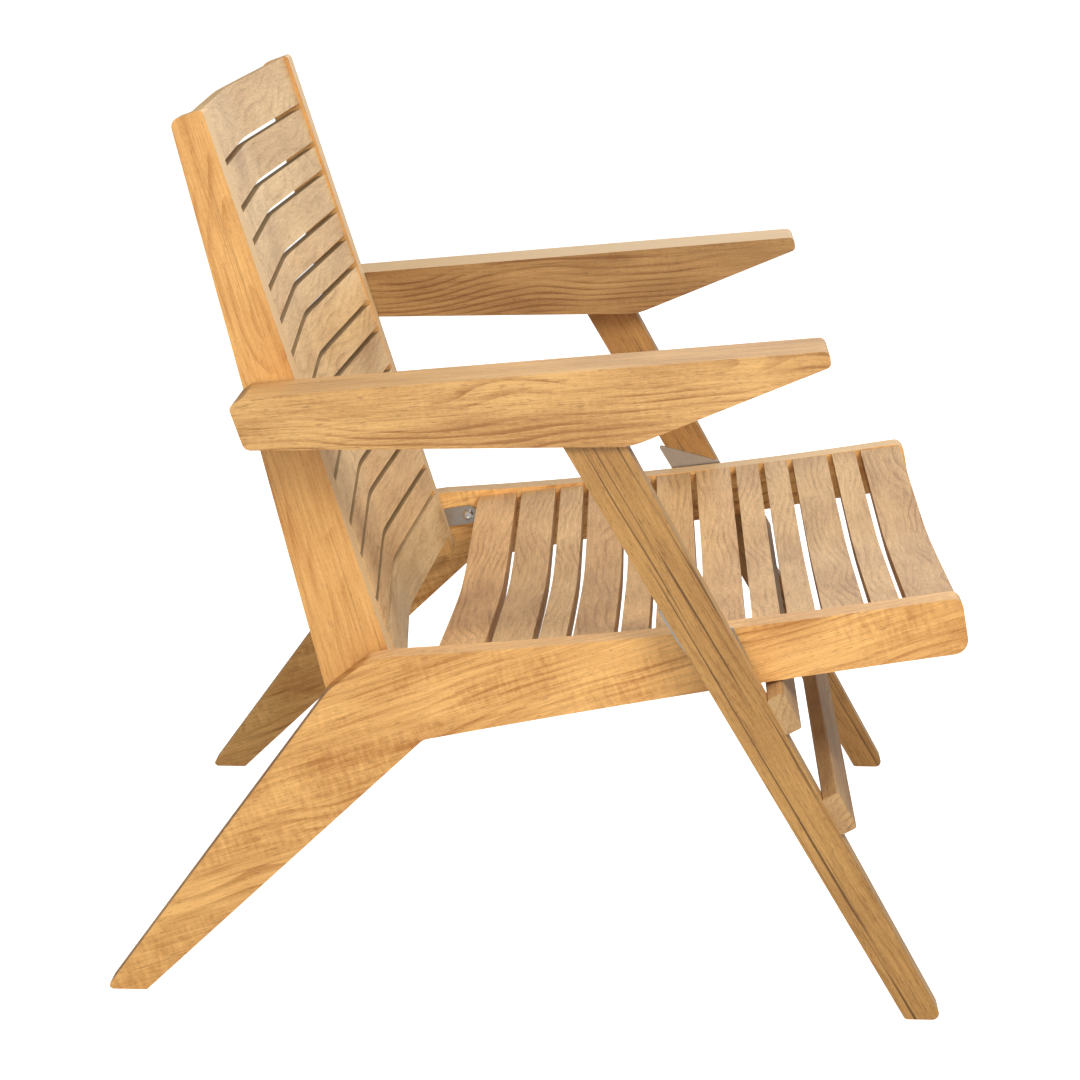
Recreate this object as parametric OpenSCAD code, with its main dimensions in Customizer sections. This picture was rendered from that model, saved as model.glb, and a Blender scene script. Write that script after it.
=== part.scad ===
// Folding slatted garden armchair in teak, millimetres.
// The chair faces -Y, X runs across it, Z is up, the feet stand on Z = 0.
// Side profiles are drawn as [forward, up], with forward = 0 at the rear feet.
// The back turns on the rails, the front legs cross the rails outside,
// and each arm ties a back post to the top of a front leg (parallel linkage).

/* [Boards] */
// Overall depth, rear feet to rail fronts
depth = 764.8; // [700:0.1:850]
// Half the clear width between the rails
rail_inner = 300; // [250:1:340]
// Thickness of the side boards (rail and rear leg)
rail_thick = 26; // [20:1:34]
// Thickness of the front legs
leg_thick = 27; // [20:1:34]
// Thickness of the back posts
post_thick = 27; // [20:1:34]
// Free space between side board and front leg
leg_gap = 7; // [5:0.5:10]
// Side play of the leg top in the arm groove
groove_play = 0.5; // [0.3:0.1:1]
// Wood left outside the arm groove
arm_cheek = 5.5; // [4:0.5:10]

/* [Seat] */
// Height of the seat slat ends at the rear
seat_rear_z = 315.8; // [300:0.1:330]
// Height of the seat slat ends at the front
seat_front_z = 378.6; // [360:0.1:395]
// Forward position of the rearmost slat edge
seat_rear = 298; // [297:0.5:305]
// Forward position of the front slat edge
seat_front = 754; // [740:1:760]
// Lengthwise hollow of the seat
seat_hollow = 2; // [0:0.5:6]
// Depth of the scoop at mid width
seat_dip = 20; // [0:1:30]
// Seat slat thickness
seat_slat_thick = 16; // [10:1:20]
// Gap between seat slats
seat_gap = 6.2; // [4:0.1:10]

/* [Back] */
// Gap between back slats
back_gap = 5.6; // [4:0.1:10]
// Depth of the back scoop at mid width
back_dip = 20; // [0:1:30]
// Back slat thickness
back_slat_thick = 11; // [10:1:20]
// Width of the top back slat
top_slat_width = 50; // [40:1:60]
// Width of the bottom back slat
bottom_slat_width = 47; // [40:1:60]

/* [Slats] */
// Width of a wide slat
wide = 36.8; // [30:0.1:45]
// Width of a narrow slat
narrow = 24.8; // [18:0.1:30]
// Softness of the seat's bend at mid width
seat_bend_soft = 60; // [10:5:150]
// Softness of the back's bend at mid width
back_bend_soft = 20; // [5:5:150]

/* [Front frame] */
// Stretcher thickness
stretcher_thick = 16; // [12:1:22]
// Height of the lower rear edge of the upper stretcher
upper_stretcher_z = 263.4; // [240:0.1:264]
// Height of the lower rear edge of the lower stretcher
lower_stretcher_z = 172.5; // [120:0.5:220]
// Height of the upper stretcher along the legs
upper_stretcher_high = 36; // [30:1:45]
// Height of the lower stretcher along the legs
lower_stretcher_high = 37; // [30:1:45]

/* [Metal] */
// Pivot shaft radius
shaft = 5; // [4:0.5:6]
// Radial running clearance at the pivots
running = 0.05; // [0.02:0.01:0.1]
// Plate thickness
plate = 3; // [2:0.5:4]

/* [Output] */
// Sub-part to draw

/* [Hidden] */

round_fn = 48;
arc_steps = 6;
curve_steps = 24;
eps = 0.01;
// How far a cut runs past the face it opens
over = 1;

// Layers across the chair, measured from the middle outwards
rail_outer = rail_inner + rail_thick;
leg_inner = rail_outer + leg_gap;
leg_outer = leg_inner + leg_thick;
arm_inner = rail_inner - 2;
arm_outer = leg_outer + groove_play + arm_cheek;
post_outer = rail_inner - 4;
post_inner = post_outer - post_thick;
plate_inner = leg_inner - plate;

// Pivots as [forward, up]; the four lie on an exact parallelogram
back_pivot = [287, 296];
link_across = [268, 20];
link_up = [-130, 232];
leg_pivot = back_pivot + link_across;
arm_rear_pivot = back_pivot + link_up;
arm_front_pivot = arm_rear_pivot + link_across;

// Back post edges as [forward, up]
post_top_front = [101, 794];
post_low_front = [273.5, 259];
post_top_rear = [73, 784];
post_low_rear = [208.5, 240];

// Front face of the back slats at their ends: behind the post edge at the top, proud of it below
slat_line_top = [96.6, 794];
slat_line_low = [275.7, 259];
slat_run = unit(slat_line_low - slat_line_top);
slat_rearward = [slat_run.y, -slat_run.x];

// Front leg edges as [forward, up]
leg_knee_z = 519;
leg_rear_knee = 411;
leg_rear_foot = 719;
leg_front_knee = 465.5;
leg_front_foot = 753;
leg_axis = unit([leg_rear_foot - leg_rear_knee, -leg_knee_z]);
leg_front_run = unit([leg_front_foot - leg_front_knee, -leg_knee_z]);
leg_front_out = [-leg_front_run.y, leg_front_run.x];

// Slat widths from the rear of the seat and from the top of the back
seat_length = norm([seat_front - seat_rear, seat_front_z - seat_rear_z]);
seat_mid = [wide, narrow, wide, narrow, wide, wide, narrow, narrow, wide, narrow];
seat_end = (seat_length - total(seat_mid) - 11 * seat_gap) / 2;
seat_widths = [seat_end, each seat_mid, seat_end];
back_mid = [wide, narrow, wide, narrow, narrow, wide, narrow, wide, wide, narrow, wide, narrow];
back_widths = [top_slat_width, each back_mid, bottom_slat_width];
back_start = 2;

dowel_r = 3;
dowel_half = 11;
back_dowel_depth = 6.2;

function unit(v) = v / norm(v);
function heading(angle) = [cos(angle), sin(angle)];
function total(list) = len(list) == 0 ? 0 : list * [for (i = list) 1];
function before(list, count) = total([for (i = [0:1:count - 1]) list[i]]);
function along(p, q, t) = p + (q - p) * t;
function bump(t) = 1 - t * t;

// Forward position of the leg edges at a height
function leg_rear_at(z) = leg_rear_knee + (leg_rear_foot - leg_rear_knee) * (leg_knee_z - z) / leg_knee_z;
function leg_front_at(z) = leg_front_knee + (leg_front_foot - leg_front_knee) * (leg_knee_z - z) / leg_knee_z;

// Points of one rounded corner at b, between a and c
function wrap(angle) = angle > 180 ? angle - 360 : angle < -180 ? angle + 360 : angle;
function corner(a, b, c, r) =
  let (
    to_a = unit(a - b),
    to_c = unit(c - b),
    half = acos(to_a * to_c) / 2,
    reach = r / tan(half),
    mid = b + unit(to_a + to_c) * r / sin(half),
    from = b + to_a * reach - mid,
    to = b + to_c * reach - mid,
    start = atan2(from.y, from.x),
    turn = wrap(atan2(to.y, to.x) - start)
  )
  r < eps ? [b] : [for (i = [0:arc_steps]) mid + r * heading(start + turn * i / arc_steps)];
function rounded(points, radii) =
  let (n = len(points))
  [for (i = [0:n - 1]) each corner(points[(i + n - 1) % n], points[i], points[(i + 1) % n], radii[i])];

// Scoop depth across the width: 1 at mid width, 0 at the slat ends
function bend_drop(x, soft) = norm([x, soft]) - soft;
function scoop(x, half, soft) = 1 - bend_drop(x, soft) / bend_drop(half, soft);

// Puts a [forward, up] profile upright between two X positions
module slab(x_from, x_to) {
  translate([x_to, depth / 2, 0])
    rotate([90, 0, -90])
      linear_extrude(height = x_to - x_from)
        children();
}

// Round bar along X at a [forward, up] point
module bar(at, x_from, x_to, r) {
  slab(x_from, x_to)
    translate(at)
      circle(r = r, $fn = round_fn);
}

module cone_bar(at, x_from, x_to, r_from, r_to) {
  translate([x_from, depth / 2 - at.x, at.y])
    rotate([0, 90, 0])
      cylinder(h = x_to - x_from, r1 = r_from, r2 = r_to, $fn = round_fn);
}

module mirrored() {
  mirror([1, 0, 0])
    children();
}

module both() {
  children();
  mirrored()
    children();
}

// ---------- side boards ----------

rail_top_rear = [262, 319.5];
rail_top_front = [758, 380.5];
rail_top_hollow = 6.3;
elbow = [288, 243];
rail_low_front = [767, 331];
rail_low_arch = 3;
rail_samples = 8;

function rail_top(t) = along(rail_top_rear, rail_top_front, t) - [0, rail_top_hollow * bump(2 * t - 1)];
function rail_low(t) = along(elbow, rail_low_front, t) + [0, rail_low_arch * bump(2 * t - 1)];

module side_profile() {
  top_points = [for (i = [1:rail_samples - 1]) rail_top(1 - i / rail_samples)];
  low_points = [for (i = [1:rail_samples - 1]) rail_low(i / rail_samples)];
  shoulder = [[240, 316], [204, 287]];
  foot = [[-1, 3], [3, 0], [34, 0]];
  underside = [elbow, each low_points, rail_low_front];
  upper_side = [rail_top_front, each top_points, rail_top_rear, each shoulder];
  flat_low = [for (i = low_points) 0];
  flat_top = [for (i = top_points) 0];
  radii = [0, 0, 3, 14, each flat_low, 13, 9, each flat_top, 12, 14, 40];
  intersection() {
    polygon(rounded([each foot, each underside, each upper_side], radii));
    square([depth, depth]);
  }
}

module side_board() {
  difference() {
    slab(rail_inner, rail_outer)
      side_profile();
    bar(leg_pivot, rail_inner - over, rail_outer + over, bushing_r);
    bar(back_pivot, rail_inner - over, rail_inner + insert_long + over, insert_r);
    for (i = [0:len(seat_widths) - 1])
      seat_dowel(i);
  }
}

// ---------- seat slats ----------

function seat_centre(i) = before(seat_widths, i) + i * seat_gap + seat_widths[i] / 2;
function seat_point(s) =
  let (t = s / seat_length)
  along([seat_rear, seat_rear_z], [seat_front, seat_front_z], t) - [0, seat_hollow * bump(2 * t - 1)];
function seat_tilt(s) =
  let (step = seat_point(s + 1) - seat_point(s - 1))
  atan2(step.y, step.x);

// Scooped strip, top of the ends at Z = 0; its points crowd towards the bend at mid length
module strip(half, thick, dip, soft, width) {
  shares = [for (i = [0:curve_steps]) 2 * i / curve_steps - 1];
  top = [for (t = shares) let (x = half * t * abs(t)) [x, -dip * scoop(x, half, soft)]];
  under = [for (i = [0:curve_steps]) top[curve_steps - i] - [0, thick]];
  rotate([90, 0, 0])
    translate([0, 0, -width / 2])
      linear_extrude(height = width)
        polygon([each top, each under]);
}

// Moves a strip to a [forward, up] point, its run tipped up by an angle
module place(point, tilt) {
  translate([0, depth / 2 - point.x, point.y])
    rotate([-tilt, 0, 0])
      children();
}

module seat_slat(i) {
  s = seat_centre(i);
  difference() {
    place(seat_point(s), seat_tilt(s))
      strip(rail_inner, seat_slat_thick, seat_dip, seat_bend_soft, seat_widths[i]);
    both()
      seat_dowel(i);
  }
}

module seat_dowel(i) {
  s = seat_centre(i);
  at = seat_point(s) + seat_slat_thick / 2 * [sin(seat_tilt(s)), -cos(seat_tilt(s))];
  bar(at, rail_inner - dowel_half, rail_inner + dowel_half, dowel_r);
}

module seat_dowels_set() {
  for (i = [0:len(seat_widths) - 1])
    both()
      seat_dowel(i);
}

// ---------- back ----------

post_bore_end = post_inner + 4;

module back_post() {
  difference() {
    slab(post_inner, post_outer)
      polygon(rounded([post_top_rear, post_top_front, post_low_front, post_low_rear], [8, 4, 8, 10]));
    bar(arm_rear_pivot, post_bore_end, post_outer + over, shaft);
    for (i = [0:len(back_widths) - 1])
      back_dowel(i);
    for (k = [0:1])
      hinge_screw(k);
  }
}

function back_centre(i) = back_start + before(back_widths, i) + i * back_gap + back_widths[i] / 2;
function back_point(i) = slat_line_top + slat_run * back_centre(i);

module back_slat(i) {
  difference() {
    place(back_point(i), atan2(slat_run.y, slat_run.x))
      strip(post_inner, back_slat_thick, back_dip, back_bend_soft, back_widths[i]);
    both()
      back_dowel(i);
  }
}

module back_dowel(i) {
  at = back_point(i) + slat_rearward * back_dowel_depth;
  bar(at, post_inner - dowel_half, post_inner + dowel_half, dowel_r);
}

module back_dowels_set() {
  for (i = [0:len(back_widths) - 1])
    both()
      back_dowel(i);
}

// ---------- back hinges ----------

hinge_half = 10;
hinge_foot_half = 13;
hinge_neck = 28;
hinge_foot = 36;
hinge_length = 64;
hinge_angle = 190;
hinge_screw_at = [42, 55];
hinge_run = heading(hinge_angle);
hinge_side = [-hinge_run.y, hinge_run.x];
bolt_shoulder = 4;
bolt_thread = 3.2;
bolt_thread_long = 15;
bolt_head = 5.7;
bolt_head_high = 4.2;
bolt_dome = 1.6;
bolt_dome_r = 3.7;
bolt_socket_r = 2.9;
bolt_socket_deep = 2.6;
bolt_gap = 0.3;
insert_r = 6.5;
insert_long = 18;
screw_head = 4.4;
screw_head_long = 2.4;
screw_shank = 2.2;
screw_long = 16;
drive_r = 1.7;
drive_deep = 1.4;

function hinge_point(along_run, aside) = back_pivot + hinge_run * along_run + hinge_side * aside;

module hinge_plate() {
  outline = [
    hinge_point(-hinge_half, -hinge_half), hinge_point(-hinge_half, hinge_half),
    hinge_point(hinge_neck, hinge_half), hinge_point(hinge_foot, hinge_foot_half),
    hinge_point(hinge_length, hinge_foot_half), hinge_point(hinge_length, -hinge_foot_half),
    hinge_point(hinge_foot, -hinge_foot_half), hinge_point(hinge_neck, -hinge_half)
  ];
  eye_r = hinge_half - 0.1;
  difference() {
    slab(post_outer, post_outer + plate)
      polygon(rounded(outline, [eye_r, eye_r, 6, 6, 6, 6, 6, 6]));
    bar(back_pivot, post_outer - over, post_outer + plate + over, bolt_shoulder + running);
    for (k = [0:1])
      hinge_screw(k);
  }
}

module hinge_screw(k) {
  at = hinge_point(hinge_screw_at[k], 0);
  face = post_outer + plate;
  cone_bar(at, face - screw_head_long, face, screw_shank, screw_head);
  bar(at, face - screw_long, face - screw_head_long, screw_shank);
}

module hinge_screw_drive(k) {
  at = hinge_point(hinge_screw_at[k], 0);
  slab(post_outer + plate - drive_deep, post_outer + plate + over)
    translate(at)
      circle(r = drive_r, $fn = 6);
}

module hinge_screw_solid(k) {
  difference() {
    hinge_screw(k);
    hinge_screw_drive(k);
  }
}

module hinge_plate_screws_set() {
  for (k = [0:1])
    both()
      hinge_screw_solid(k);
}

// Button-head shoulder bolt, head towards the middle of the chair
module back_pivot_bolt() {
  head_from = post_outer - bolt_gap - bolt_head_high;
  difference() {
    union() {
      cone_bar(back_pivot, head_from, head_from + bolt_dome, bolt_dome_r, bolt_head);
      bar(back_pivot, head_from + bolt_dome, post_outer - bolt_gap, bolt_head);
      bar(back_pivot, post_outer - bolt_gap - eps, rail_inner, bolt_shoulder);
      bar(back_pivot, rail_inner - eps, rail_inner + bolt_thread_long, bolt_thread);
    }
    slab(head_from - over, head_from + bolt_socket_deep)
      translate(back_pivot)
        circle(r = bolt_socket_r, $fn = 6);
  }
}

module back_pivot_bolts_set() {
  both()
    back_pivot_bolt();
}

module back_pivot_inserts_set() {
  both()
    difference() {
      bar(back_pivot, rail_inner, rail_inner + insert_long, insert_r);
      bar(back_pivot, rail_inner - over, rail_inner + bolt_thread_long + over, bolt_thread);
    }
}

// ---------- front legs ----------

leg_top_rear_z = 577.5;
leg_top_front_z = 551.5;
leg_top_r = 17;

module leg_profile() {
  outline = [
    [leg_rear_at(leg_top_rear_z), leg_top_rear_z], [leg_front_at(leg_top_front_z), leg_top_front_z],
    [leg_front_foot, 0], [leg_rear_foot, 0]
  ];
  polygon(rounded(outline, [leg_top_r, leg_top_r, 6, 4]));
}

module front_leg() {
  difference() {
    slab(leg_inner, leg_outer)
      leg_profile();
    bar(arm_front_pivot, leg_inner - over, leg_outer + over, shaft + running);
    for (k = [0:2])
      leg_plate_screw(k);
    for (z = [upper_stretcher_z, lower_stretcher_z])
      for (k = [0:1])
        stretcher_dowel(z, k);
  }
}

stretcher_dowel_first = 10;
stretcher_dowel_step = 17;

function stretcher_corner(z) = [leg_front_at(z), z];

module stretcher(z, high) {
  base = stretcher_corner(z);
  up = -leg_front_run * high;
  out = leg_front_out * stretcher_thick;
  difference() {
    slab(-leg_outer, leg_outer)
      polygon(rounded([base, base + out, base + out + up, base + up], [2, 3, 3, 2]));
    for (k = [0:1])
      both()
        stretcher_dowel(z, k);
  }
}

module stretcher_dowel(z, k) {
  rise = stretcher_dowel_first + stretcher_dowel_step * k;
  at = stretcher_corner(z) - leg_front_run * rise - leg_front_out * dowel_half;
  translate([leg_inner + leg_thick / 2, depth / 2 - at.x, at.y])
    rotate([atan2(leg_front_out.x, leg_front_out.y), 0, 0])
      cylinder(h = 2 * dowel_half, r = dowel_r, $fn = round_fn);
}

module stretcher_dowels_set() {
  for (z = [upper_stretcher_z, lower_stretcher_z])
    for (k = [0:1])
      both()
        stretcher_dowel(z, k);
}

// ---------- leg pivots ----------

washer_r = 12;
nut_r = 8;
nut_gap = 0.5;
nut_long = 8;
cap_long = 3;
cap_r = 3.5;
cap_root_r = 6;
washer_gap = 0.6;
arm_washer_gap = 0.5;
bushing_r = 7;
plate_screw_long = 15;
plate_screw_at = [[-24, 36], [6, 18], [14, -10]];

module leg_plate() {
  outline = [
    [493, 369], [560, 352], [580, 312], [568, 300], [541, 300], [512, 338]
  ];
  difference() {
    slab(plate_inner, leg_inner)
      polygon(rounded(outline, [2, 3, 6, 6, 6, 10]));
    bar(leg_pivot, plate_inner - over, leg_inner + over, shaft);
    for (k = [0:2])
      leg_plate_screw(k);
  }
}

module leg_plate_screw(k) {
  at = leg_pivot + plate_screw_at[k];
  cone_bar(at, plate_inner, plate_inner + screw_head_long, screw_head, screw_shank);
  bar(at, plate_inner + screw_head_long, plate_inner + plate_screw_long, screw_shank);
}

module leg_plate_screws_set() {
  for (k = [0:2])
    both()
      difference() {
        leg_plate_screw(k);
        slab(plate_inner - over, plate_inner + drive_deep)
          translate(leg_pivot + plate_screw_at[k])
            circle(r = drive_r, $fn = 6);
      }
}

stud_inner = rail_inner - nut_gap - nut_long;

module leg_pivot_studs_set() {
  both()
    bar(leg_pivot, stud_inner, leg_inner, shaft);
}

module leg_pivot_washers_set() {
  both()
    difference() {
      bar(leg_pivot, rail_outer + washer_gap, plate_inner, washer_r);
      bar(leg_pivot, rail_outer, plate_inner + over, shaft);
    }
}

module leg_pivot_nuts_set() {
  both()
    difference() {
      union() {
        slab(stud_inner, rail_inner - nut_gap)
          translate(leg_pivot)
            circle(r = nut_r, $fn = 6);
        cone_bar(leg_pivot, stud_inner - cap_long, stud_inner + eps, cap_r, cap_root_r);
      }
      bar(leg_pivot, stud_inner, rail_inner + over, shaft);
    }
}

module leg_pivot_bushings_set() {
  both()
    difference() {
      bar(leg_pivot, rail_inner, rail_outer, bushing_r);
      bar(leg_pivot, rail_inner - over, rail_outer + over, shaft + running);
    }
}

// ---------- arms ----------

arm_pin_end = 48;
arm_bush_end = 50;
arm_bush_r = 7;
arm_front_pin_from = arm_inner + 6;
arm_front_pin_to = leg_outer + groove_play + 3;
groove_r = 29;
groove_front_play = 1.5;
groove_low_z = 500;
groove_roof = 10;
groove_long = 240;
groove_mouth = 80;
fold_turn = 98;
fold_spare = 4;

module arm_profile() {
  outline = [
    [128, 549.5], [140, 558], [635, 603.5], [637, 590], [469.5, 519.6], [141, 512.5]
  ];
  polygon(rounded(outline, [5, 5, 6, 5, 60, 7]));
}

// Room swept by the leg top between standing and folded
module groove_profile() {
  front_low = [leg_front_at(groove_low_z) + groove_front_play, groove_low_z];
  front_high = [leg_front_at(arm_front_pivot.y) + groove_front_play, arm_front_pivot.y];
  tuck_run = -heading(atan2(-leg_axis.y, -leg_axis.x) - fold_turn - fold_spare);
  tuck_up = [tuck_run.y, -tuck_run.x];
  ceiling = arm_front_pivot + tuck_up * groove_r;
  polygon([
    front_low, front_high, arm_front_pivot + [0, groove_roof],
    ceiling, ceiling + tuck_run * groove_long, arm_front_pivot - [groove_long, groove_mouth]
  ]);
  translate(arm_front_pivot)
    circle(r = groove_r, $fn = round_fn);
}

module arm() {
  difference() {
    slab(arm_inner, arm_outer)
      arm_profile();
    slab(leg_inner - groove_play, leg_outer + groove_play)
      groove_profile();
    bar(arm_rear_pivot, arm_inner - over, arm_inner + arm_bush_end, arm_bush_r);
    bar(arm_front_pivot, arm_front_pin_from, arm_front_pin_to, shaft);
  }
}

module arm_bushing() {
  difference() {
    bar(arm_rear_pivot, arm_inner, arm_inner + arm_bush_end, arm_bush_r);
    bar(arm_rear_pivot, arm_inner - over, arm_inner + arm_pin_end + over, shaft + running);
  }
}

module arm_rear_pins_set() {
  both()
    bar(arm_rear_pivot, post_bore_end, arm_inner + arm_pin_end, shaft);
}

module arm_rear_washers_set() {
  both()
    difference() {
      bar(arm_rear_pivot, post_outer, arm_inner - arm_washer_gap, washer_r);
      bar(arm_rear_pivot, post_outer - over, arm_inner, shaft);
    }
}

module arm_front_pin() {
  bar(arm_front_pivot, arm_front_pin_from, arm_front_pin_to, shaft);
}

// ---------- sub-parts ----------

teak = [0.80, 0.60, 0.38];
teak_pale = [0.86, 0.71, 0.53];
teak_dark = [0.68, 0.49, 0.30];
steel = [0.70, 0.70, 0.72];
brass = [0.75, 0.62, 0.35];
nylon = [0.90, 0.90, 0.88];

module side_board_right() {
  color(teak)
    mirrored()
      side_board();
}

module side_board_left() {
  color(teak)
    side_board();
}

module seat_slat_01() {
  color(teak_pale)
    seat_slat(0);
}

module seat_slat_02() {
  color(teak_pale)
    seat_slat(1);
}

module seat_slat_03() {
  color(teak_pale)
    seat_slat(2);
}

module seat_slat_04() {
  color(teak_pale)
    seat_slat(3);
}

module seat_slat_05() {
  color(teak_pale)
    seat_slat(4);
}

module seat_slat_06() {
  color(teak_pale)
    seat_slat(5);
}

module seat_slat_07() {
  color(teak_pale)
    seat_slat(6);
}

module seat_slat_08() {
  color(teak_pale)
    seat_slat(7);
}

module seat_slat_09() {
  color(teak_pale)
    seat_slat(8);
}

module seat_slat_10() {
  color(teak_pale)
    seat_slat(9);
}

module seat_slat_11() {
  color(teak_pale)
    seat_slat(10);
}

module seat_slat_12() {
  color(teak_pale)
    seat_slat(11);
}

module seat_dowels() {
  color(teak_dark)
    seat_dowels_set();
}

module back_pivot_bolts() {
  color(steel)
    back_pivot_bolts_set();
}

module back_pivot_inserts() {
  color(brass)
    back_pivot_inserts_set();
}

module leg_pivot_bushings() {
  color(brass)
    leg_pivot_bushings_set();
}

module back_post_right() {
  color(teak)
    mirrored()
      back_post();
}

module back_post_left() {
  color(teak)
    back_post();
}

module back_slat_01() {
  color(teak_pale)
    back_slat(0);
}

module back_slat_02() {
  color(teak_pale)
    back_slat(1);
}

module back_slat_03() {
  color(teak_pale)
    back_slat(2);
}

module back_slat_04() {
  color(teak_pale)
    back_slat(3);
}

module back_slat_05() {
  color(teak_pale)
    back_slat(4);
}

module back_slat_06() {
  color(teak_pale)
    back_slat(5);
}

module back_slat_07() {
  color(teak_pale)
    back_slat(6);
}

module back_slat_08() {
  color(teak_pale)
    back_slat(7);
}

module back_slat_09() {
  color(teak_pale)
    back_slat(8);
}

module back_slat_10() {
  color(teak_pale)
    back_slat(9);
}

module back_slat_11() {
  color(teak_pale)
    back_slat(10);
}

module back_slat_12() {
  color(teak_pale)
    back_slat(11);
}

module back_slat_13() {
  color(teak_pale)
    back_slat(12);
}

module back_slat_14() {
  color(teak_pale)
    back_slat(13);
}

module back_dowels() {
  color(teak_dark)
    back_dowels_set();
}

module hinge_plate_right() {
  color(steel)
    mirrored()
      hinge_plate();
}

module hinge_plate_left() {
  color(steel)
    hinge_plate();
}

module hinge_plate_screws() {
  color(steel)
    hinge_plate_screws_set();
}

module arm_rear_pins() {
  color(steel)
    arm_rear_pins_set();
}

module arm_rear_washers() {
  color(steel)
    arm_rear_washers_set();
}

module front_leg_right() {
  color(teak)
    mirrored()
      front_leg();
}

module front_leg_left() {
  color(teak)
    front_leg();
}

module stretcher_upper() {
  color(teak)
    stretcher(upper_stretcher_z, upper_stretcher_high);
}

module stretcher_lower() {
  color(teak)
    stretcher(lower_stretcher_z, lower_stretcher_high);
}

module stretcher_dowels() {
  color(teak_dark)
    stretcher_dowels_set();
}

module leg_plate_right() {
  color(steel)
    mirrored()
      leg_plate();
}

module leg_plate_left() {
  color(steel)
    leg_plate();
}

module leg_plate_screws() {
  color(steel)
    leg_plate_screws_set();
}

module leg_pivot_studs() {
  color(steel)
    leg_pivot_studs_set();
}

module leg_pivot_washers() {
  color(nylon)
    leg_pivot_washers_set();
}

module leg_pivot_nuts() {
  color(steel)
    leg_pivot_nuts_set();
}

module arm_right() {
  color(teak)
    mirrored()
      arm();
}

module arm_left() {
  color(teak)
    arm();
}

module arm_bushing_right() {
  color(nylon)
    mirrored()
      arm_bushing();
}

module arm_bushing_left() {
  color(nylon)
    arm_bushing();
}

module arm_front_pin_right() {
  color(steel)
    mirrored()
      arm_front_pin();
}

module arm_front_pin_left() {
  color(steel)
    arm_front_pin();
}

side_board_right();
side_board_left();
seat_slat_01();
seat_slat_02();
seat_slat_03();
seat_slat_04();
seat_slat_05();
seat_slat_06();
seat_slat_07();
seat_slat_08();
seat_slat_09();
seat_slat_10();
seat_slat_11();
seat_slat_12();
seat_dowels();
back_pivot_bolts();
back_pivot_inserts();
leg_pivot_bushings();
back_post_right();
back_post_left();
back_slat_01();
back_slat_02();
back_slat_03();
back_slat_04();
back_slat_05();
back_slat_06();
back_slat_07();
back_slat_08();
back_slat_09();
back_slat_10();
back_slat_11();
back_slat_12();
back_slat_13();
back_slat_14();
back_dowels();
hinge_plate_right();
hinge_plate_left();
hinge_plate_screws();
arm_rear_pins();
arm_rear_washers();
front_leg_right();
front_leg_left();
stretcher_upper();
stretcher_lower();
stretcher_dowels();
leg_plate_right();
leg_plate_left();
leg_plate_screws();
leg_pivot_studs();
leg_pivot_washers();
leg_pivot_nuts();
arm_right();
arm_left();
arm_bushing_right();
arm_bushing_left();
arm_front_pin_right();
arm_front_pin_left();
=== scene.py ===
"""Looks of the folding slatted teak armchair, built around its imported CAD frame.

Metres, in the CAD frame: the chair faces -Y, X runs across it and the feet stand on Z = 0.
"""

import math
import random

import bpy
from mathutils import Euler, Matrix, Vector


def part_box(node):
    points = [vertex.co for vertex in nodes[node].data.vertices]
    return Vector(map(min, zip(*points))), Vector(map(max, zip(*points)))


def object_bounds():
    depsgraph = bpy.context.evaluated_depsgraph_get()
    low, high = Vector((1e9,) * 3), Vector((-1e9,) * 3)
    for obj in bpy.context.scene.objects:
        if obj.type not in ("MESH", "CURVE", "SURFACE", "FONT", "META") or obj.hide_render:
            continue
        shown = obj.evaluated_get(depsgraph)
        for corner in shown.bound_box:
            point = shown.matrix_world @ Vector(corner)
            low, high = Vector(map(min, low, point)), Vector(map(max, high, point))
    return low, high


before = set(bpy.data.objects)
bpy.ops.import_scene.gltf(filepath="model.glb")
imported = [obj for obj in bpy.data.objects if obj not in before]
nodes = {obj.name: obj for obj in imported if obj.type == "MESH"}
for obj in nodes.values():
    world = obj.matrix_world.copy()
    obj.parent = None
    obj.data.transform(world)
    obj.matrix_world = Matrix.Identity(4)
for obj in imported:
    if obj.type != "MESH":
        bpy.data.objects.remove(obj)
cad_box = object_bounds()


# ---------- camera and surroundings ----------

CAMERA_PLACE = Vector((-2.7010, -0.1073, 1.0349))
CAMERA_YAW = math.radians(2.3714)
CAMERA_PITCH = math.radians(14.3395)
CAMERA_ROLL = math.radians(0.146)
CAMERA_LENS = 94.17
SENSOR_WIDTH = 36.0

# Each light's place, the size of its disk, and its power in watts
LIGHTS = {
    "key": ((-2.1, -1.2, 2.3), 1.3, 55.0),
    "top": ((0.4, -0.3, 2.7), 1.3, 20.0),
    "rear": ((2.9, -0.7, 1.5), 2.4, 16.0),
    "fill": ((-2.8, 0.2, 1.2), 2.2, 27.0),
}
FLOOR_HALF = 40.0
FLOOR_GREY = (0.60, 0.60, 0.60, 1.0)
WHITE = (1.0, 1.0, 1.0, 1.0)
# Strength of the white surroundings as a light; the camera sees them at full strength
AMBIENT = 0.25


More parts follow.
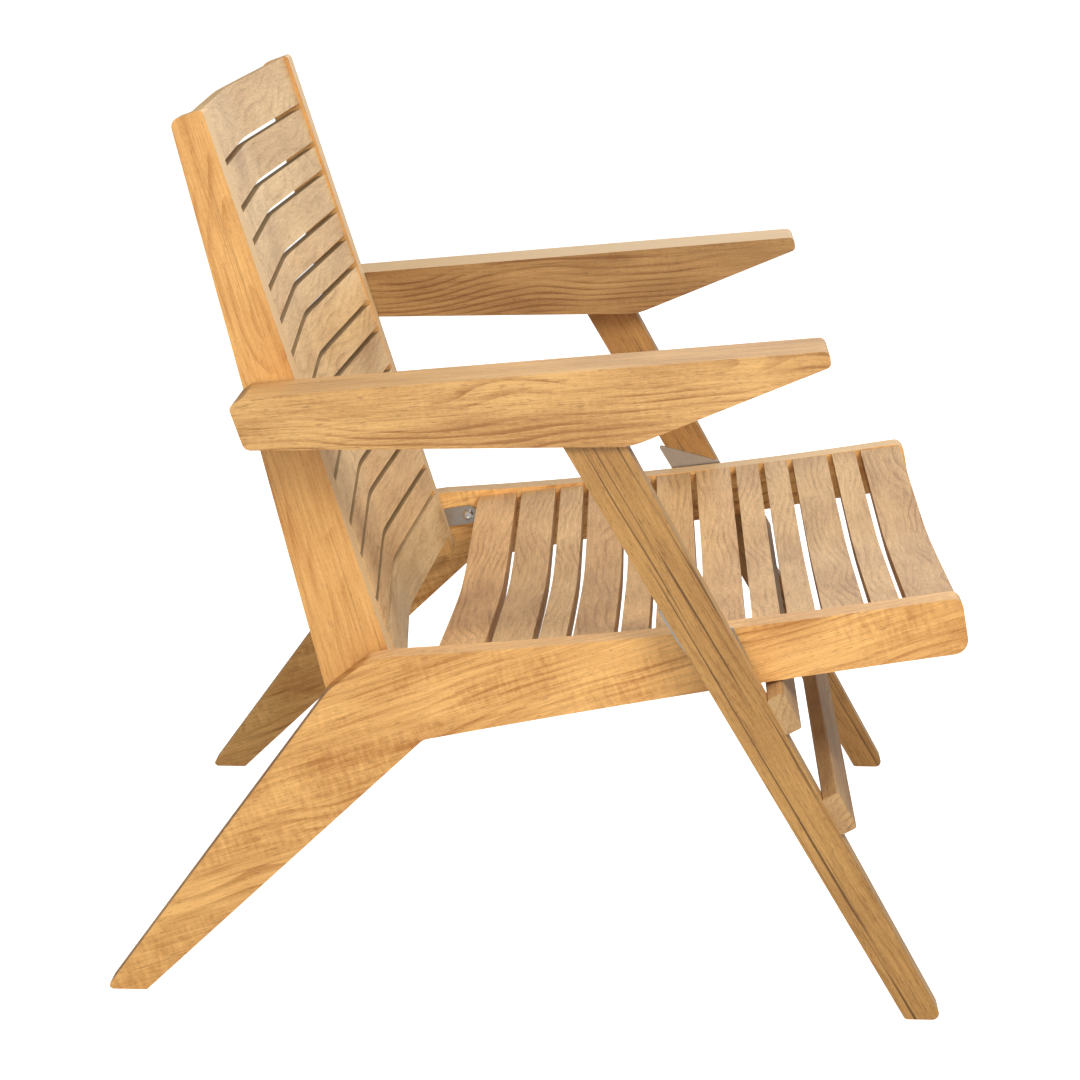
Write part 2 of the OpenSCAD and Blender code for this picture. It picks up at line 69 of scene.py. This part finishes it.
def make_camera():
    data = bpy.data.cameras.new("camera")
    data.lens = CAMERA_LENS
    data.sensor_width = SENSOR_WIDTH
    data.dof.use_dof = False
    ahead = Vector((
        math.cos(CAMERA_YAW) * math.cos(CAMERA_PITCH),
        math.sin(CAMERA_YAW) * math.cos(CAMERA_PITCH),
        -math.sin(CAMERA_PITCH),
    ))
    right = Vector((math.sin(CAMERA_YAW), -math.cos(CAMERA_YAW), 0.0))
    turn = Matrix.Rotation(-CAMERA_ROLL, 3, ahead)
    right = turn @ right
    up = right.cross(ahead)
    basis = Matrix((right, up, -ahead)).transposed()
    camera = bpy.data.objects.new("camera", data)
    camera.matrix_world = Matrix.Translation(CAMERA_PLACE) @ basis.to_4x4()
    bpy.context.scene.collection.objects.link(camera)
    bpy.context.scene.camera = camera


def make_area_light(name, place, size, power, target):
    data = bpy.data.lights.new(name, "AREA")
    data.shape = "DISK"
    data.size = size
    data.energy = power
    light = bpy.data.objects.new(name, data)
    light.location = place
    light.rotation_euler = (target - Vector(place)).to_track_quat("-Z", "Y").to_euler()
    bpy.context.scene.collection.objects.link(light)


def make_lights():
    middle = (cad_box[0] + cad_box[1]) / 2
    for name, (place, size, power) in LIGHTS.items():
        make_area_light(name, place, size, power, middle)


def make_world():
    world = bpy.data.worlds.new("studio")
    world.use_nodes = True
    background = world.node_tree.nodes["Background"]
    background.inputs["Color"].default_value = WHITE
    graph = Graph(world.node_tree)
    seen = graph.add("ShaderNodeLightPath").outputs["Is Camera Ray"]
    strength = graph.math("MULTIPLY_ADD", seen, 1.0 - AMBIENT, AMBIENT)
    graph.feed(background.inputs["Strength"], strength)
    bpy.context.scene.world = world


def make_floor():
    mesh = bpy.data.meshes.new("floor")
    signs = [(-1, -1), (1, -1), (1, 1), (-1, 1)]
    corners = [(x * FLOOR_HALF, y * FLOOR_HALF, 0.0) for x, y in signs]
    mesh.from_pydata(corners, [], [(0, 1, 2, 3)])
    material = bpy.data.materials.new("floor")
    material.use_nodes = True
    shader = material.node_tree.nodes["Principled BSDF"]
    shader.inputs["Base Color"].default_value = FLOOR_GREY
    shader.inputs["Roughness"].default_value = 1.0
    shader.inputs["Emission Color"].default_value = WHITE
    # The white seen behind the chair doesn't light it from below
    graph = Graph(material.node_tree)
    seen = graph.add("ShaderNodeLightPath").outputs["Is Camera Ray"]
    graph.feed(shader.inputs["Emission Strength"], seen)
    mesh.materials.append(material)
    floor = bpy.data.objects.new("floor", mesh)
    bpy.context.scene.collection.objects.link(floor)


# ---------- shader building ----------


class Graph:
    """Adds nodes to one node tree. A value may be a number or another node's output."""

    def __init__(self, tree):
        self.tree = tree

    def add(self, kind, settings=None, **values):
        made = self.tree.nodes.new(kind)
        for name, value in (settings or {}).items():
            setattr(made, name, value)
        for name, value in values.items():
            self.feed(made.inputs[name.replace("_", " ")], value)
        return made

    def feed(self, socket, value):
        if isinstance(value, bpy.types.NodeSocket):
            self.tree.links.new(value, socket)
        else:
            socket.default_value = value

    def math(self, operation, *values, clamp=False):
        made = self.add("ShaderNodeMath", {"operation": operation, "use_clamp": clamp})
        for socket, value in zip(made.inputs, values):
            self.feed(socket, value)
        return made.outputs[0]

    def vector(self, operation, *values, output="Vector"):
        made = self.add("ShaderNodeVectorMath", {"operation": operation})
        for socket, value in zip(made.inputs, values):
            self.feed(socket, value)
        return made.outputs[output]

    def noise(self, place, detail=2.0):
        return self.add("ShaderNodeTexNoise", Vector=place, Scale=1.0, Detail=detail).outputs["Fac"]

    def stretched(self, place, along, across):
        """Noise with this many grains per metre along X and across it."""
        return self.noise(self.vector("MULTIPLY", place, (along, across, across)))

    def ramp(self, value, low, high):
        """Rises smoothly from 0 at low to 1 at high."""
        made = self.add("ShaderNodeMapRange", {"interpolation_type": "SMOOTHSTEP"}, Value=value)
        made.inputs["From Min"].default_value = low
        made.inputs["From Max"].default_value = high
        return made.outputs["Result"]

    def mix(self, factor, first, second):
        made = self.add("ShaderNodeMix", {"data_type": "RGBA"}, Factor=factor)
        self.feed(made.inputs[6], first)
        self.feed(made.inputs[7], second)
        return made.outputs[2]


def linear(red, green, blue):
    """Scene-linear colour of a display colour given in 0 to 255."""
    parts = [channel / 255 for channel in (red, green, blue)]
    return tuple(c / 12.92 if c <= 0.04045 else ((c + 0.055) / 1.055) ** 2.4 for c in parts) + (1.0,)


# ---------- teak ----------

# Metres between growth rings, and where in each of them the late wood starts and ends
RING_SPACING = 0.0065
LATE_WOOD_STARTS = (0.45, 0.93)
LATE_WOOD_ENDS = (1.0, 0.95)
# How far the rings sway sideways, and the sway's noise along and across the grain
SWAY = (0.0, 0.05, 0.05)
SWAY_SCALE = (5.0, 9.0, 9.0)
# Noise per metre along and across the grain
WANDER = (5.0, 40.0)
RING_PATCHES = (7.0, 50.0)
FIBRE = (28.0, 900.0)
BANDS = (6.0, 260.0)
SPECKS = (300.0, 1000.0)
BLOTCHES = (8.0, 22.0)
RIPPLES = (210.0, 55.0)
RIPPLE_PATCHES = (9.0, 30.0)
VEINS = (4.0, 330.0)
PORES = (90.0, 800.0)
# Share of the dark colour in plain timber, and what each noise adds to it or takes away
PLAIN_TONE = 0.40
FIBRE_TONE = 0.9
BAND_TONE = 0.6
SPECK_TONE = 0.6
PORE_COVER = 0.40
PORE_DEPTH = 0.8
# Where each mask begins and where it is full
RING_PATCH_RANGE = (0.35, 0.75)
RIPPLE_PATCH_RANGE = (0.42, 0.62)
VEIN_RANGE = (0.60, 0.70)
PORE_RANGE = (0.62, 0.70)
# Sun bleaching together with painted light from above, on faces towards the sky
BLEACH_AND_TOPLIGHT_RANGE = (0.25, 0.75)
# Painted shade on the back slats' edges inside the gaps
GAP_SHADE_RANGE = (0.75, 0.97)
# Bump and gloss of the timber, with the height in metres
GRAIN_STRENGTH = 0.35
GRAIN_HEIGHT = 0.0004
WOOD_ROUGHNESS = 0.5
WOOD_SPECULAR = 0.45

WOOD_INPUTS = {
    "Place": "NodeSocketVector",
    "Facing": "NodeSocketVector",
    "Light": "NodeSocketColor",
    "Dark": "NodeSocketColor",
    "Vein": "NodeSocketColor",
    "Rings": "NodeSocketFloat",
    "Veins": "NodeSocketFloat",
    "Ripple": "NodeSocketFloat",
    "Blotch": "NodeSocketFloat",
    "Bleach_and_toplight": "NodeSocketFloat",
}
# Timber that faces the sky, forwards and up, is paler: partly sun bleaching, partly painted light from
# above
BLEACHED_AND_TOPLIT = (226, 192, 142)
SKYWARD = (0.0, -0.5, 0.86)


def growth_rings(graph, place):
    """Lines of late wood round a pith that sways, stronger in some places than in others."""
    sway_place = graph.vector("MULTIPLY", place, SWAY_SCALE)
    sway = graph.add("ShaderNodeTexNoise", Vector=sway_place, Scale=1.0, Detail=1.0)
    shift = graph.vector("SUBTRACT", sway.outputs["Color"], (0.5, 0.5, 0.5))
    swayed = graph.vector("ADD", place, graph.vector("MULTIPLY", shift, SWAY))
    radius = graph.vector("LENGTH", graph.vector("MULTIPLY", swayed, (0.0, 1.0, 1.0)), output="Value")
    years = graph.math("DIVIDE", radius, RING_SPACING)
    year = graph.math("FRACT", graph.math("ADD", years, graph.stretched(place, *WANDER)))
    starts = graph.ramp(year, *LATE_WOOD_STARTS)
    late_wood = graph.math("MULTIPLY", starts, graph.ramp(year, *LATE_WOOD_ENDS))
    share = graph.ramp(graph.stretched(place, *RING_PATCHES), *RING_PATCH_RANGE)
    return graph.math("MULTIPLY", late_wood, share)


def cross_ripple(graph, place):
    """Patches of short bars across the grain."""
    bars = graph.math("SUBTRACT", graph.stretched(place, *RIPPLES), 0.5)
    patches = graph.ramp(graph.stretched(place, *RIPPLE_PATCHES), *RIPPLE_PATCH_RANGE)
    return graph.math("MULTIPLY", bars, patches)


def teak_tone(graph, place, fibre, given):
    """Share of the dark timber colour, from 0 to 1."""
    tone = PLAIN_TONE
    bands = graph.stretched(place, *BANDS)
    specks = graph.stretched(place, *SPECKS)
    for noise, amount in ((fibre, FIBRE_TONE), (bands, BAND_TONE), (specks, SPECK_TONE)):
        tone = graph.math("MULTIPLY_ADD", graph.math("SUBTRACT", noise, 0.5), amount, tone)
    blotches = graph.math("SUBTRACT", graph.stretched(place, *BLOTCHES), 0.5)
    traits = (
        (growth_rings(graph, place), given["Rings"]),
        (blotches, given["Blotch"]),
        (cross_ripple(graph, place), given["Ripple"]),
    )
    for trait, amount in traits:
        tone = graph.math("ADD", tone, graph.math("MULTIPLY", trait, amount))
    return graph.math("ADD", tone, 0.0, clamp=True)


def make_teak_group():
    """Solid teak: X of Place runs along the grain, and the pith lies along Y = Z = 0."""
    tree = bpy.data.node_groups.new("teak_figure", "ShaderNodeTree")
    for name, kind in WOOD_INPUTS.items():
        tree.interface.new_socket(name, in_out="INPUT", socket_type=kind)
    tree.interface.new_socket("Color", in_out="OUTPUT", socket_type="NodeSocketColor")
    tree.interface.new_socket("Height", in_out="OUTPUT", socket_type="NodeSocketFloat")
    graph = Graph(tree)
    given = graph.add("NodeGroupInput").outputs
    place = given["Place"]
    fibre = graph.stretched(place, *FIBRE)
    colour = graph.mix(teak_tone(graph, place, fibre, given), given["Light"], given["Dark"])
    vein = graph.ramp(graph.stretched(place, *VEINS), *VEIN_RANGE)
    colour = graph.mix(graph.math("MULTIPLY", vein, given["Veins"]), colour, given["Vein"])
    pore = graph.ramp(graph.stretched(place, *PORES), *PORE_RANGE)
    colour = graph.mix(graph.math("MULTIPLY", pore, PORE_COVER), colour, given["Vein"])
    # Faces towards the sky turn paler: sun bleaching together with painted light from above
    skyward = graph.vector("DOT_PRODUCT", given["Facing"], SKYWARD, output="Value")
    bleach_and_toplight = graph.math("MULTIPLY", graph.ramp(skyward, *BLEACH_AND_TOPLIGHT_RANGE), given["Bleach_and_toplight"])
    colour = graph.mix(bleach_and_toplight, colour, linear(*BLEACHED_AND_TOPLIT))
    height = graph.math("SUBTRACT", fibre, graph.math("MULTIPLY", pore, PORE_DEPTH))
    graph.add("NodeGroupOutput", Color=colour, Height=height)
    return tree


TEAK = make_teak_group()


def look(light, dark, vein, rings, veins, ripple, blotch, bleach_and_toplight):
    """One choice of timber: three display colours, then the strength of each trait."""
    return {
        "light": light,
        "dark": dark,
        "vein": vein,
        "rings": rings,
        "veins": veins,
        "ripple": ripple,
        "blotch": blotch,
        "bleach_and_toplight": bleach_and_toplight,
    }


WOODS = {
    "board": look((240, 188, 114), (178, 118, 54), (136, 88, 44), 0.55, 0.25, 1.0, 1.7, 0.40),
    "arm": look((234, 181, 110), (168, 112, 55), (120, 76, 38), 0.75, 0.25, 0.3, 1.3, 0.15),
    "post": look((241, 186, 111), (190, 127, 59), (140, 88, 42), 0.50, 0.30, 0.3, 1.0, 0.85),
    "leg": look((212, 159, 89), (150, 100, 45), (84, 50, 22), 0.30, 0.80, 0.3, 0.9, 0.30),
    "seat": look((232, 189, 130), (170, 124, 77), (122, 84, 48), 0.48, 0.25, 0.20, 1.1, 0.0),
    "back": look((242, 205, 149), (190, 149, 99), (134, 99, 62), 0.44, 0.20, 0.15, 1.5, 0.0),
}
# The far arm and far side board are paler on top than their near copies: painted light from the top and
# rear lamps
WOODS["left_arm"] = dict(WOODS["arm"], bleach_and_toplight=0.8)
WOODS["left_board"] = dict(WOODS["board"], bleach_and_toplight=0.75)
# Brightness of boards set apart from the rest of their timber: painted shade darkens the far arm and far
# front leg against their near copies, painted light brightens the far side board, and the stretchers are
# darker
SHADES = {
    "arm_left": 0.68,
    "stretcher_upper": 0.72,
    "stretcher_lower": 0.72,
    "side_board_left": 1.3,
    "front_leg_left": 0.82,
}
# How much other boards vary in brightness, and all boards in hue
TONE_SPREAD = 0.10
HUE_SPREAD = 0.04
# Furthest place of a board along its log, in metres
LOG_HALF = 9.0
# Painted shade on the back slats' edges inside the gaps, which face up or down the back
BACK_RUN = (0.0, 0.292, 0.956)
GAP_SHADE = (112, 88, 60)
GAP_SHADE_SHARE = 0.6
# The first and last slats, whose outer edges face no gap
END_SLATS = ("back_slat_01", "back_slat_14")


def toned(colour, factor, warmth):
    """Scene-linear colour made brighter by factor, with more red and less blue as warmth grows."""
    red, green, blue = (channel * factor for channel in linear(*colour)[:3])
    return (red * (1.0 + warmth), green, blue * (1.0 - warmth), 1.0)


def grain_euler(tilt):
    """Turns local X to the grain: tilt degrees up from straight ahead, or across the chair at None."""
    if tilt is None:
        return Euler((0.0, 0.0, 0.0))
    angle = math.radians(tilt)
    along = Vector((0.0, -math.cos(angle), math.sin(angle)))
    side = Vector((1.0, 0.0, 0.0))
    across = along.cross(side)
    return Matrix((along, side, across)).transposed().to_euler()


def gap_shaded(graph, name, normal, colour):
    """The colour, with painted shade on a back slat's edges that face a gap."""
    if not name.startswith("back_slat") or name in END_SLATS:
        return colour
    facing = graph.math("ABSOLUTE", graph.vector("DOT_PRODUCT", normal, BACK_RUN, output="Value"))
    cover = graph.math("MULTIPLY", graph.ramp(facing, *GAP_SHADE_RANGE), GAP_SHADE_SHARE)
    return graph.mix(cover, colour, linear(*GAP_SHADE))


def make_wood(name, wood, tilt, pith, seed):
    """Teak material for one piece: its grain direction, and its own place in the log."""
    chosen = WOODS[wood]
    chance = random.Random(seed)
    # Far-side boards take their painted light or shade here; the others vary at random in tone
    factor = SHADES.get(name, 1.0 + TONE_SPREAD * chance.uniform(-1.0, 1.0))
    warmth = HUE_SPREAD * chance.uniform(-1.0, 1.0)
    material = bpy.data.materials.new(name)
    material.use_nodes = True
    graph = Graph(material.node_tree)
    lowest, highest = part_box(name)
    centre = (lowest + highest) / 2
    where = graph.add("ShaderNodeTexCoord").outputs
    mapping = graph.add("ShaderNodeMapping", {"vector_type": "TEXTURE"}, Vector=where["Object"])
    mapping.inputs["Location"].default_value = centre
    mapping.inputs["Rotation"].default_value = grain_euler(tilt)
    shift = (chance.uniform(-LOG_HALF, LOG_HALF), pith[0], pith[1])
    place = graph.vector("ADD", mapping.outputs["Vector"], shift)
    figure = graph.add("ShaderNodeGroup", {"node_tree": TEAK}, Place=place, Facing=where["Normal"])
    for socket in ("Light", "Dark", "Vein"):
        figure.inputs[socket].default_value = toned(chosen[socket.lower()], factor, warmth)
    for socket in ("Rings", "Veins", "Ripple", "Blotch", "Bleach_and_toplight"):
        figure.inputs[socket].default_value = chosen[socket.lower()]
    height = figure.outputs["Height"]
    bump = graph.add("ShaderNodeBump", Height=height, Strength=GRAIN_STRENGTH, Distance=GRAIN_HEIGHT)
    shader = material.node_tree.nodes["Principled BSDF"]
    # Painted shade darkens the back slats' edges inside the gaps
    colour = gap_shaded(graph, name, where["Normal"], figure.outputs["Color"])
    graph.feed(shader.inputs["Base Color"], colour)
    graph.feed(shader.inputs["Normal"], bump.outputs["Normal"])
    shader.inputs["Roughness"].default_value = WOOD_ROUGHNESS
    shader.inputs["Specular IOR Level"].default_value = WOOD_SPECULAR
    return material


# ---------- metal and plastic ----------

# Display colour and roughness
METALS = {
    "steel": ((180, 174, 166), 0.34),
    "bright_steel": ((216, 212, 206), 0.2),
    "brass": ((206, 170, 98), 0.3),
}
# Fine scratches along Z, per metre, and how much they vary the roughness and the height in metres
SCRATCHES = (2500.0, 2500.0, 120.0)
SCRATCH_ROUGHNESS = 0.35
SCRATCH_STRENGTH = 0.08
SCRATCH_HEIGHT = 0.0002
# Display colours of the nylon and its specks per metre
NYLON_LIGHT = (226, 224, 216)
NYLON_DARK = (198, 196, 188)
NYLON_SPECKS = (900.0, 900.0, 900.0)
NYLON_ROUGHNESS = 0.45


def make_metal(name, colour, roughness):
    """Brushed metal with fine scratches."""
    material = bpy.data.materials.new(name)
    material.use_nodes = True
    graph = Graph(material.node_tree)
    where = graph.add("ShaderNodeTexCoord").outputs["Object"]
    brushed = graph.noise(graph.vector("MULTIPLY", where, SCRATCHES))
    shader = material.node_tree.nodes["Principled BSDF"]
    shader.inputs["Base Color"].default_value = colour
    shader.inputs["Metallic"].default_value = 1.0
    scratched = graph.math("SUBTRACT", brushed, 0.5)
    spread = graph.math("MULTIPLY_ADD", scratched, SCRATCH_ROUGHNESS, roughness)
    graph.feed(shader.inputs["Roughness"], spread)
    bump = graph.add("ShaderNodeBump", Height=brushed, Strength=SCRATCH_STRENGTH, Distance=SCRATCH_HEIGHT)
    graph.feed(shader.inputs["Normal"], bump.outputs["Normal"])
    return material


def make_nylon():
    """Off-white moulded plastic."""
    material = bpy.data.materials.new("nylon")
    material.use_nodes = True
    graph = Graph(material.node_tree)
    where = graph.add("ShaderNodeTexCoord").outputs["Object"]
    speckle = graph.noise(graph.vector("MULTIPLY", where, NYLON_SPECKS))
    shader = material.node_tree.nodes["Principled BSDF"]
    colour = graph.mix(speckle, linear(*NYLON_LIGHT), linear(*NYLON_DARK))
    graph.feed(shader.inputs["Base Color"], colour)
    shader.inputs["Roughness"].default_value = NYLON_ROUGHNESS
    return material


# ---------- edges ----------

WELD_REACH = 1e-5
EDGE_SEGMENTS = 2
SHARP_ANGLE = math.radians(35.0)


def soften(piece, width):
    """Rounds the sharp edges of a CAD piece without touching its mesh."""
    weld = piece.modifiers.new("weld", "WELD")
    weld.merge_threshold = WELD_REACH
    bevel = piece.modifiers.new("bevel", "BEVEL")
    bevel.width = width
    bevel.segments = EDGE_SEGMENTS
    bevel.limit_method = "ANGLE"
    bevel.angle_limit = SHARP_ANGLE
    bevel.miter_outer = "MITER_ARC"
    bevel.harden_normals = False
    normals = piece.modifiers.new("normals", "WEIGHTED_NORMAL")
    normals.keep_sharp = False


# ---------- which look each piece takes ----------

# Start of the node name: timber, grain tilt in degrees or None across the chair, edge radius in metres
TIMBER = {
    "side_board_left": ("left_board", 19.0, 0.0022),
    "side_board_right": ("board", 19.0, 0.0022),
    "arm_left": ("left_arm", 5.0, 0.0028),
    "arm_right": ("arm", 5.0, 0.0028),
    "back_post": ("post", 107.0, 0.0025),
    "front_leg": ("leg", 120.6, 0.0022),
    "seat_slat": ("seat", None, 0.0016),
    "back_slat": ("back", None, 0.0016),
    "stretcher": ("seat", None, 0.0022),
}
DOWELS = ("seat_dowels", "back_dowels", "stretcher_dowels")
# Material of each fitting; those that aren't named here are plain steel
FITTINGS = {
    "back_pivot_bolts": "bright_steel",
    "hinge_plate_screws": "bright_steel",
    "leg_pivot_nuts": "bright_steel",
    "back_pivot_inserts": "brass",
    "leg_pivot_bushings": "brass",
    "arm_bushing_left": "nylon",
    "arm_bushing_right": "nylon",
    "arm_rear_washers": "nylon",
    "leg_pivot_washers": "nylon",
}
# Where the pith may lie from a board's centre, in metres, and where it lies in a dowel
PITH_DEPTH = (0.03, 0.09)
PITH_SIDE = (-0.03, 0.03)
DOWEL_PITH = (0.01, 0.01)


def timber_of(name):
    for start, timber in TIMBER.items():
        if name.startswith(start):
            return timber
    return None


def dress(piece, material):
    """One material all over the piece."""
    piece.data.materials.clear()
    piece.data.materials.append(material)
    for polygon in piece.data.polygons:
        polygon.material_index = 0


def dress_pieces():
    materials = {name: make_metal(name, linear(*colour), rough) for name, (colour, rough) in METALS.items()}
    materials["nylon"] = make_nylon()
    for index, name in enumerate(sorted(nodes)):
        piece = nodes[name]
        chance = random.Random(index)
        if name in DOWELS:
            dress(piece, make_wood(name, "leg", None, DOWEL_PITH, index))
        elif timber_of(name):
            wood, tilt, edge = timber_of(name)
            pith = (chance.uniform(*PITH_DEPTH), chance.uniform(*PITH_SIDE))
            dress(piece, make_wood(name, wood, tilt, pith, index))
            soften(piece, edge)
        else:
            dress(piece, materials[FITTINGS.get(name, "steel")])


make_camera()
make_world()
make_lights()
make_floor()
dress_pieces()
bpy.context.scene.view_settings.view_transform = "Standard"
